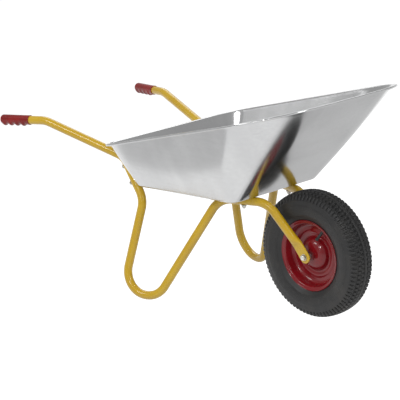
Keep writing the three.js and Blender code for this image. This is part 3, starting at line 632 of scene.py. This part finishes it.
def tube(side):
    """The bent tube: round sections square to its middle line, which turn into a flat-sided slot
    shape where the end is pressed, as powers of sine and cosine, and narrow to a round tip."""
    places, ways = stations()
    tip_share = np.array([0.2, 0.4, 0.6, 0.75, 0.87, 0.95, 0.99])
    tip = above_axle(FORK_ROUND - FORK_PAST) + fork_down * (tip_share * FORK_ROUND)[:, None]
    places = np.vstack([places, tip])
    ways = np.vstack([ways, np.repeat(fork_down[None], len(tip_share), 0)])
    narrow = np.concatenate([np.ones(len(places) - len(tip_share)), np.sqrt(1 - tip_share ** 2)])
    across = Y - ways * ways[:, 1:2]
    across /= np.linalg.norm(across, axis=1, keepdims=True)
    upright = np.cross(ways, across)
    distance = np.linalg.norm(places - axle_hole, axis=1)
    flat = 1 - step_up(distance, FORK_BEFORE - PRESS_BELOW, FORK_BEFORE + PRESS_ABOVE - 1)
    thick = TUBE_R + (PRESSED_HALF - TUBE_R) * flat
    wide = (TUBE_R + (PRESSED_WIDTH - TUBE_R) * flat) * narrow
    power = (1 + (FLAT_SHARPNESS - 1) * flat)[:, None]
    angle = 2 * np.pi * (np.arange(TUBE_SIDES) + 0.5) / TUBE_SIDES
    squared = [np.sign(wave) * np.abs(wave) ** power for wave in (np.sin(angle), np.cos(angle))]
    rings = places[:, None] + across[:, None] * (thick[:, None] * squared[0])[..., None]
    rings = rings + upright[:, None] * (wide[:, None] * squared[1])[..., None]
    return rings * (1, side, 1)


def grip(side):
    """A moulded grip: a cylinder with a rounded end, four ridges under it that swell and fall as a
    raised cosine, and a small lip at the open end; then back down its bore."""
    length, radius, cap, bore = 120.0, 15.8, 5.0, 14.1
    end_round, ridge, pitch, first, half = 8.0, 5.0, 26.0, 15.0, 11.5
    theta = np.linspace(0, np.pi / 2, 10)[1:]
    round_z = end_round * (1 - np.cos(theta))
    z = np.concatenate([round_z, np.linspace(end_round, length, 130)[1:]])
    outer = radius - end_round * (1 - np.sqrt(np.clip(1 - (1 - z / end_round) ** 2, 0, 1)))
    outer = np.where(z < end_round, outer, radius)
    lip = 0.5 * step_up(z, length - 5, length - 3)
    outer = outer + lip * step_up(-z, -length - 0.01, -length + 0.6)
    nearest = np.abs((z - first + pitch / 2) % pitch - pitch / 2)
    swell = (1 + np.cos(np.pi * np.clip(nearest / half, 0, 1))) / 2
    swell = swell * (z < first + 3.5 * pitch) * (z > first - half)
    angle = np.linspace(0, 2 * np.pi, 64, endpoint=False)
    under = np.clip(-np.sin(angle), 0, 1) ** 1.2
    seam = 0.15 * np.exp(-((np.sin(angle) / 0.05) ** 2))
    r = outer[:, None] + ridge * swell[:, None] * under + seam
    z = np.concatenate([z, [length, length - 30, cap + 40]])
    r = np.vstack([r, np.full((3, 64), bore)])
    along = unit((HANDLE_BEND - HANDLE_END) * (1, side, 1))
    up = unit(Z - along * along[2])
    start = HANDLE_END * (1, side, 1) - along * cap
    circle = np.cos(angle)[:, None] * np.cross(up, along) + np.sin(angle)[:, None] * up
    return start + r[..., None] * circle + z[:, None, None] * along


# ---- Fixings ----


def bolt_seats():
    """Where each tray bolt leaves the tray's outer face, and its direction away from the tray."""
    seats = {name: (panel_foot + panel_up * rise + Y * REAR_HALF, panel_out)
             for name, rise in REAR_BOLTS.items()}
    rear = under_floor(FLOOR_RUN_REAR)
    share = (FLOOR_BOLT_X - rear[0]) / (fork_top[0] - rear[0])
    half = rear[1] + (fork_top[1] - rear[1]) * share
    seats["floor"] = (np.array([FLOOR_BOLT_X, half, floor_z(FLOOR_BOLT_X)]), floor_down)
    return seats


def threaded(radius, low, high, start, way, pitch=1.25, depth=0.5, steps=32):
    """A thread: the radius falls and rises once in every pitch, moved on by the turn's angle, so
    that the groove climbs round the bolt; it runs out at the tip's chamfer."""
    across = unit(np.cross(X if abs(way[0]) < 0.9 else Z, way))
    angle = np.linspace(0, 2 * np.pi, steps, endpoint=False)
    z = np.linspace(low, high, max(6, int((high - low) / pitch * 8)))
    phase = (z[:, None] / pitch - angle / (2 * np.pi)) % 1.0
    r = radius - depth * (1 - np.abs(2 * phase - 1))
    r = np.minimum(r, radius + (high - 1.0 - z[:, None]).clip(max=0) * 0.9)
    circle = np.cos(angle)[:, None] * across + np.sin(angle)[:, None] * np.cross(way, across)
    return start + r[..., None] * circle + z[:, None, None] * way


def hexagon(corner, low, high, start, way, bore=None, domed=(True, True), steps=72):
    """A hexagon whose corners are cut by a cone at its ends: the radius is the lesser of the
    hexagon's, the flat over the cosine of the angle from its middle, and the cone's."""
    across = unit(np.cross(X if abs(way[0]) < 0.9 else Z, way))
    angle = np.linspace(0, 2 * np.pi, steps, endpoint=False)
    flat = corner * math.cos(math.pi / 6)
    shape = flat / np.cos((angle + np.pi / 6) % (np.pi / 3) - np.pi / 6)
    fall = (corner - flat) * 1.1
    share = np.array([0, 0.35, 0.7, 1.0])
    z = np.concatenate([low + fall * 0.6 * share, high - fall * 0.6 * share[::-1]])
    cone = np.full(len(z), corner)
    if domed[0]:
        cone[:4] = corner - fall * (1 - share)
    if domed[1]:
        cone[4:] = corner - fall * (1 - share[::-1])
    r = np.minimum(shape, cone[:, None])
    if bore:
        z = np.concatenate([z, [high, high - 0.8, low + 0.8, low]])
        r = np.vstack([r, np.outer([bore + 0.7, bore, bore, bore + 0.7], np.ones(steps))])
    circle = np.cos(angle)[:, None] * across + np.sin(angle)[:, None] * np.cross(way, across)
    return start + r[..., None] * circle + z[:, None, None] * way


def washer(outer, hole, low, high, start, way):
    """A flat ring with its edges rounded off, but for one edge of its hole."""
    edge = 0.35
    profile = [(hole, low), (outer - edge, low), (outer, low + edge), (outer, high - edge),
               (outer - edge, high), (hole + edge, high), (hole, high - edge)]
    return turned(profile, start, way, 56)


def tray_fixings(side_name, side):
    """Each tray bolt: a domed head inside the tray, a washer and a nut outside the tube."""
    washer_face = 2 * (TUBE_R + GAP)
    nut_face = washer_face + WASHER_H + GAP
    end = nut_face + NUT_H + BOLT_TIP
    head = -SHEET - BOLT_NECK
    plain = nut_face + THREAD_START
    dome = np.radians(np.linspace(4, 78, 9))
    cap = np.column_stack([DOME_R * np.sin(dome), head - DOME_H * np.cos(dome) ** 0.9])
    for name, (place, way) in bolt_seats().items():
        start, out = place * (1, side, 1), way * (1, side, 1)
        label = f"{side_name}_{name}"
        shank = [(BOLT_HEAD_R, head - 0.5), (BOLT_HEAD_R - 0.2, head), (BOLT_R, head),
                 (BOLT_R, plain)]
        head_rings = turned(np.vstack([cap, shank]), start, out, 32)
        rings = np.concatenate([head_rings, threaded(BOLT_R, plain + 0.2, end, start, out)])
        disc = washer(WASHER_R, BOLT_HOLE_R, washer_face, washer_face + WASHER_H, start, out)
        nut = hexagon(NUT_R, nut_face, nut_face + NUT_H, start, out, bore=BOLT_R + THREAD_PLAY)
        build(f"{label}_screw", rings, "frame", f"{label}_bolt", "fixing_zinc", sharp=30)
        build(f"{label}_disc", disc, "frame", f"{label}_washer", "fixing_zinc", loop=True)
        build(f"{label}_hexnut", nut, "frame", f"{label}_nut", "fixing_zinc", loop=True)


def axle_parts():
    """The axle bolt through both pressed ends, with its washers, spacer sleeves and nut."""
    plate_out = FORK_HALF + PRESSED_HALF + GAP
    plate_in = FORK_HALF - PRESSED_HALF - GAP
    face = plate_out + AXLE_WASHER_H + GAP
    bush_out = HUB_HALF + GAP + BUSH_FLANGE
    plain = face + THREAD_START
    end = face + AXLE_NUT_H + AXLE_TIP
    head = hexagon(AXLE_HEAD_R, -face - AXLE_HEAD_H, -face, HUB_MIDDLE, Y, domed=(True, False))
    shank = turned([(AXLE_R, -face), (AXLE_R, plain)], HUB_MIDDLE, Y, 72)
    tip = threaded(AXLE_R, plain + 0.2, end, HUB_MIDDLE, Y, pitch=1.5, depth=0.7, steps=72)
    nut = hexagon(AXLE_HEAD_R, face, face + AXLE_NUT_H, HUB_MIDDLE, Y, bore=AXLE_R + THREAD_PLAY)
    build("axle_screw", np.concatenate([head, shank, tip]), "frame", "axle_bolt", "fixing_zinc")
    build("axle_hexnut", nut, "frame", "axle_nut", "fixing_zinc", loop=True)
    for name, side in SIDES.items():
        out = Y * side
        disc = washer(AXLE_WASHER_R, AXLE_HOLE_R, plate_out, plate_out + AXLE_WASHER_H,
                      HUB_MIDDLE, out)
        spacer = washer(SPACER_R, AXLE_HOLE_R, bush_out + RUN_GAP, plate_in, HUB_MIDDLE, out)
        build(f"{name}_axle_disc", disc, "frame", f"{name}_axle_washer", "fixing_zinc", loop=True)
        build(f"{name}_spacer", spacer, "frame", f"{name}_axle_sleeve", "hub_steel", loop=True)


# ---- Wheel ----


def tyre():
    """The tyre's section, open towards the rim, turned round the axle. The tread is a height
    function of the angle and of the distance across from the middle: a centre rib, two rows of
    blocks each side, the outer one half a pitch on from the inner one, and a row of shoulder
    lugs. A band a millimetre proud runs round each side wall."""
    side = np.array([(102.2, 28), (104.5, 31.5), (110.5, 33.2), (117, 38), (130, 45), (150, 48),
                     (168, 47.2), (180, 44.6), (188, 40.5), (194, 34.5), (197.6, 26),
                     (199.4, 14)])
    inner = np.array([(185, 27), (172, 39), (152, 41), (130, 38), (113, 27), (102.2, 23)])
    outer = np.vstack([side, [(TYRE_R, 0)], side[::-1] * (1, -1)])
    outer = rounded(outer, 6, steps=4)
    run = np.concatenate([[0], np.cumsum(np.linalg.norm(np.diff(outer, axis=0), axis=1))])
    middle = run[-1] / 2
    tread = np.arange(-SHOULDER, SHOULDER + 0.5, 1.55) + middle
    across = np.unique(np.concatenate([np.linspace(0, middle - SHOULDER, 26), tread,
                                       np.linspace(middle + SHOULDER, run[-1], 26)]))
    r, h = np.interp(across, run, outer[:, 0]), np.interp(across, run, outer[:, 1])
    h = h + np.sign(h) * (step_up(r, 124, 128) - step_up(r, 158, 163))
    slope = np.gradient(np.column_stack([r, h]), across, axis=0)
    outward = np.column_stack([-slope[:, 1], slope[:, 0]])
    outward = outward / np.linalg.norm(outward, axis=1, keepdims=True) * np.sign(outward[:, :1])
    angle = np.linspace(0, 2 * np.pi, PITCHES * 8, endpoint=False)
    off = np.abs(across - middle)[:, None]
    turn = PITCHES * angle / (2 * np.pi)

    def blocks(low, high, shift, share, slant=0.0):
        """Blocks that fill a share of each pitch between two distances from the middle."""
        band = step_up(off, low, low + 1.6) * step_up(-off, -high, -high + 1.6)
        phase = np.abs((turn + shift + slant * off) % 1.0 - 0.5)
        return band * (1 - step_up(phase, share / 2 - 0.06, share / 2 + 0.06))

    rib = step_up(-off, -5.5, -4.0)
    rows = np.maximum(blocks(7.5, 19, 0.0, 0.66, 0.02), blocks(21, 33, 0.5, 0.62))
    raised = np.maximum(rib, np.maximum(rows, blocks(35.5, 56, 0.0, 0.56)))
    depth = TREAD_DEPTH * step_up(-off, -57, -52)
    sunk = depth * (1 - raised)
    inside = np.vstack([inner[::-1] * (1, -1), inner])
    level = np.ones(len(angle))
    radius = np.vstack([r[:, None] - outward[:, :1] * sunk, np.outer(inside[:, 0], level)])
    height = np.vstack([h[:, None] - outward[:, 1:] * sunk, np.outer(inside[:, 1], level)])
    return np.stack([radius * np.cos(angle), height, radius * np.sin(angle) + AXLE_Z], -1)


def rim_half(side):
    """Half of the pressed wheel disc: a section line with rounded corners, thickened square to
    itself and turned round the axle."""
    mating = (RIM_SHEET + GAP) / 2  # the halves meet at the middle plane
    line = [(112, 37.5), (109.5, 35), (103.5, 33.5), (100.5, 30), (98, 8), (90, mating),
            (77, mating), (72, 4), (66, 4), (61, mating), (54, mating), (48, 13), (40, 20),
            (30, 24.5), (HUB_R + GAP, 26)]
    line = rounded(line, 4.0, steps=4)
    slope = np.gradient(line, axis=0)
    out = np.column_stack([-slope[:, 1], slope[:, 0]])
    out = out / np.linalg.norm(out, axis=1, keepdims=True) * RIM_SHEET / 2
    profile = np.vstack([line + out, (line - out)[::-1]])
    return turned(profile, HUB_MIDDLE, Y * side, 144)


def wheel_parts():
    """The wheel: two disc halves, the hub barrel with a flanged bush in each end, the tyre and
    the valve."""
    foot, seat, face = HUB_HALF - BUSH_DEPTH, HUB_HALF + 0.2, HUB_HALF + 0.2 + BUSH_FLANGE
    for name, side in SIDES.items():
        build(f"{name}_disc_half", rim_half(side), "wheel", f"{name}_rim_half", "rim_paint",
              loop=True, sharp=60)
        bush = rounded([(BUSH_BORE_R, foot), (BUSH_R, foot), (BUSH_R, seat),
                        (BUSH_FLANGE_R, seat), (BUSH_FLANGE_R, face), (BUSH_BORE_R, face)],
                       0.4, closed=True)
        build(f"{name}_bushing", turned(bush, HUB_MIDDLE, Y * side, 56), "wheel",
              f"{name}_hub_bush", "bush_plastic", loop=True)
    hub = rounded([(HUB_BORE_R, -HUB_HALF), (HUB_R, -HUB_HALF), (HUB_R, HUB_HALF),
                   (HUB_BORE_R, HUB_HALF)], 0.5, closed=True)
    build("hub_barrel", turned(hub, HUB_MIDDLE, Y, 64), "wheel", "hub_tube", "rim_paint",
          loop=True)
    build("tyre_casing", tyre(), "wheel", "tyre", "tyre_rubber", loop=True, sharp=50)
    valve_parts()


def valve_parts():
    """The valve: a stem with a thick foot, and a cap whose grooves are a cosine of the angle."""
    outward = np.array([math.cos(VALVE_ANGLE), 0, math.sin(VALVE_ANGLE)])
    root = HUB_MIDDLE + outward * VALVE_RADIUS - Y * VALVE_OUT
    way = -outward * math.cos(VALVE_TILT) - Y * math.sin(VALVE_TILT)
    stem_end = VALVE_LENGTH - VALVE_CAP
    stem = rounded([(5, 0), (7, 0.4), (7, 12), (5, 16), (4.5, stem_end - 0.5), (3, stem_end)],
                   1.2)
    build("valve_rubber_stem", turned(stem, root, way, 40), "wheel", "valve_stem",
          "valve_rubber")
    low, high = stem_end + GAP, VALVE_LENGTH + 0.2
    cap = rounded([(3, low), (5.2, low), (5.2, high - 1.2), (4, high), (1, high)], 0.6)
    steps = 6 * CAP_RIBS
    rings = turned(cap, root, way, steps)
    middle = root + (rings - root) @ way[:, None] * way
    angle = np.linspace(0, 2 * np.pi, steps, endpoint=False)
    ribs = 1 + 0.05 * np.cos(CAP_RIBS * angle)[:, None]
    build("valve_dust_cap", middle + (rings - middle) * ribs, "wheel", "valve_cap",
          "valve_rubber")


# ---- The whole ----

build("tray_pressing", tray(), "frame", "tray", "tray_sheet", sharp=50)
for side_name, side_sign in SIDES.items():
    build(f"{side_name}_bent_tube", tube(side_sign), "frame", f"{side_name}_frame_tube",
          "frame_paint")
    build(f"{side_name}_handle_grip", grip(side_sign), "frame", f"{side_name}_grip",
          "grip_plastic")
    tray_fixings(side_name, side_sign)
axle_parts()
wheel_parts()
inner_tube = frame["nodes"]["inner_tube"]
inner_tube.material_slots[0].material = MATERIALS["valve_rubber"]


# ---- Studio, in metres ----

PAPER_HALF = 30
PAPER_MIDDLE = (-0.2, 0.1, 0.0)
# Flags: discs of dimmer glow over the paper, painted shade that the tray mirrors.
SIDE_FLAG = (-0.32, -0.84, 0.002)
FRONT_FLAG = (0.42, 0.80, 0.003)
AIR_STRENGTH = 0.52
# Each light: its name, place, aim, width and height, and watts.
LIGHTS = [
    ("key", (-1.0, -3.2, 3.0), (0, 0, 0.3), (1.2, 0.9), 36),
    ("glint", (1.6, -3.4, 2.6), (0.2, 0, 0.3), (0.28, 0.28), 20),
    ("tall_strip", (0.9, -4.0, 1.9), (0, 0, 0.3), (0.10, 2.2), 12),
    ("back", (-2.4, 2.6, 3.2), (0, 0, 0.4), (3.0, 2.4), 50),
    ("front", (3.2, -0.6, 2.0), (0.4, 0, 0.3), (0.5, 1.4), 25),
]
# Strips that the inside of the far wall mirrors: name, place, width, and watts per square metre.
STRIPS = [
    ("wide_strip", (-2.02, -1.0, 1.45), 0.34, 2.2),
    ("slim_strip", (-1.60, -1.03, 1.55), 0.07, 4.0),
    ("thin_strip", (-1.46, -1.03, 1.60), 0.05, 4.0),
]
STRIP_HEIGHT = 0.6
STRIP_AIM = (0.0, 0.29, 0.5)
CAMERA_FROM_AXLE = (3.5076, -3.9429)
CAMERA_HEIGHT = 1.9270
CAMERA_YAW, CAMERA_PITCH, CAMERA_ROLL = (
    math.radians(turn) for turn in (45.5145, 16.3773, -1.4394))
LENS, SENSOR = 161.74, 36


def glowing_card(name, centre, inner, outer, near, far, bands=0.0):
    """Paper that glows by itself instead of being lit, as painted light or shade: its glow changes
    smoothly from near to far between two distances from a point, with slow bands of a share of
    that glow across it."""
    material, nodes, shader, place = new_material(name)
    away = nodes.add("VectorMath", {0: place, 1: centre}, operation="DISTANCE").outputs["Value"]
    share = nodes.span(away, inner, outer)
    fibre = nodes.noise(place, 60.0, 3.0)
    glow = nodes.mix(share, (near, near, near, 1), (far, far, far, 1))
    if bands:
        wide = nodes.noise(nodes.stretched(place, (14.0, 3.0, 1.0)), 1.0, 2.0)
        level = nodes.span(wide, 0.3, 0.7, 1.0 - bands, 1.0 + bands)
        glow = nodes.add("VectorMath", {0: glow, 1: level}, operation="MULTIPLY").outputs["Vector"]
    paper = nodes.mix(nodes.span(fibre, 0.3, 0.7), (0.05, 0.05, 0.05, 1), (0.06, 0.06, 0.06, 1))
    nodes.tree.links.new(glow, shader.inputs["Emission Color"])
    nodes.tree.links.new(paper, shader.inputs["Base Color"])
    shader.inputs["Emission Strength"].default_value = 1.0
    shader.inputs["Roughness"].default_value = 0.9
    shader.inputs["Specular IOR Level"].default_value = 0.1
    return material


def plane(name, corners, material):
    """One flat face of the studio."""
    mesh = bpy.data.meshes.new(name)
    mesh.from_pydata(corners, [], [tuple(range(len(corners)))])
    piece = bpy.data.objects.new(name, mesh)
    bpy.context.scene.collection.objects.link(piece)
    mesh.materials.append(material)
    return piece


def area_light(name, place, target, size, power):
    """A rectangular lamp that faces its target."""
    data = bpy.data.lights.new(name, "AREA")
    data.shape = "RECTANGLE"
    data.size, data.size_y = size
    data.energy = power
    light = bpy.data.objects.new(name, data)
    light.location = place
    way = Vector(target) - Vector(place)
    light.rotation_euler = way.to_track_quat("-Z", "Y").to_euler()
    bpy.context.scene.collection.objects.link(light)


def flag(name, centre, radius, tone, edge):
    """A disc just over the paper that glows dimmer than the paper, a painted shade that only the
    shiny parts see, never the camera.
    """
    angle = np.linspace(0, 2 * np.pi, 72, endpoint=False)
    circle = np.column_stack([np.cos(angle), np.sin(angle), np.zeros(len(angle))])
    corners = circle * radius + centre
    card = glowing_card(name, centre, radius * edge, radius, tone, 1.0, bands=0.08)
    disc = plane(name, corners.tolist(), card)
    disc.visible_camera = False
    disc.visible_diffuse = False
    disc.visible_shadow = False
    return disc


def studio():
    """Pale paper under the barrow that glows, with a painted pool of light; two flags, discs of
    painted shade for its tray to mirror; white air and the lights.
    """
    # The floor's glow is a painted pool of light: 1.2 near the middle under the barrow, falling to
    # 1.0 far off.
    paper = glowing_card("studio_paper", PAPER_MIDDLE, 0.5, 2.4, 1.2, 1.0)
    half = PAPER_HALF
    floor = plane("studio_floor",
                  [(-half, -half, 0), (half, -half, 0), (half, half, 0), (-half, half, 0)], paper)
    floor.visible_diffuse = False
    flag("side_flag", SIDE_FLAG, 0.45, 0.76, 0.96)
    flag("front_flag", FRONT_FLAG, 0.90, 0.68, 0.80)
    world = bpy.data.worlds.new("studio_air")
    bpy.context.scene.world = world
    world.use_nodes = True
    air = world.node_tree.nodes["Background"]
    air.inputs["Color"].default_value = (1, 1, 1, 1)
    air.inputs["Strength"].default_value = AIR_STRENGTH
    for name, place, target, size, power in LIGHTS:
        area_light(name, place, target, size, power)
    for name, place, width, glow in STRIPS:
        power = glow * width * STRIP_HEIGHT
        area_light(name, place, STRIP_AIM, (width, STRIP_HEIGHT), power)


def camera():
    """A camera with a long lens, turned by its yaw, then its pitch, then its roll."""
    data = bpy.data.cameras.new("camera")
    data.lens = LENS
    data.sensor_width = SENSOR
    data.clip_end = 100
    eye = bpy.data.objects.new("camera", data)
    level_part = math.cos(CAMERA_PITCH)
    ahead = Vector((-math.sin(CAMERA_YAW) * level_part, math.cos(CAMERA_YAW) * level_part,
                    -math.sin(CAMERA_PITCH)))
    level = ahead.cross(Vector((0, 0, 1))).normalized()
    up = level.cross(ahead)
    right = math.cos(CAMERA_ROLL) * level + math.sin(CAMERA_ROLL) * up
    above = math.cos(CAMERA_ROLL) * up - math.sin(CAMERA_ROLL) * level
    turn = Matrix((right, above, -ahead)).transposed().to_4x4()
    x, y = CAMERA_FROM_AXLE
    eye.matrix_world = Matrix.Translation((x + AXLE[0], y, CAMERA_HEIGHT)) @ turn
    bpy.context.scene.collection.objects.link(eye)
    bpy.context.scene.camera = eye


studio()
camera()
bpy.context.scene.view_settings.view_transform = "Standard"
